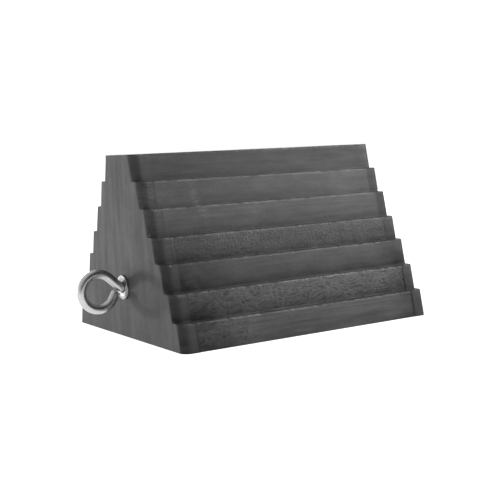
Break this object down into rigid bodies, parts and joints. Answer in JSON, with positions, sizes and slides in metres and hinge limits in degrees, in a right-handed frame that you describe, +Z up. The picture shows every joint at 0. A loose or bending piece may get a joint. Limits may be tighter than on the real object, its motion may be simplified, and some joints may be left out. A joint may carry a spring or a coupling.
{
  "type": "wheel chock",
  "caption": "Stepped rubber wheel chock with leaning treads on both sides, smooth end cheeks and a swivelling steel eye bolt through its length.",
  "frame": {"origin": "middle of the face that stands on the ground", "axes": "+Z up; X along the treads with the eye at -X; Y from one ramp to the other"},
  "size_m": [0.3565, 0.2536, 0.1895],
  "materials": {
    "bar_rubber": "rough moulded recycled rubber, scuffed",
    "cheek_rubber": "smooth buffed rubber",
    "zinc_rod": "galvanised rod, lightly drawn",
    "zinc_washer": "zinc plated",
    "zinc_nut": "zinc plated",
    "nylon": "matte nylon"
  },
  "bodies": {
    "block": {"top_bar": "bar_rubber", "second_bar": "bar_rubber", "third_bar": "bar_rubber", "fourth_bar": "bar_rubber", "fifth_bar": "bar_rubber", "sixth_bar": "bar_rubber", "base_bar": "bar_rubber", "eye_end_cheek": "cheek_rubber", "nut_end_cheek": "cheek_rubber", "eye_washer": "zinc_washer", "nut_washer": "zinc_washer"},
    "eye": {"eye_bolt": "zinc_rod", "lock_nut": "zinc_nut", "lock_nut_insert": "nylon"}
  },
  "joints": [
    {"name": "eye_swivel", "type": "hinge", "parent": "block", "child": "eye", "pos_m": [-0.1524, 0, 0.0523], "axis": [1, 0, 0], "continuous": true}
  ]
}
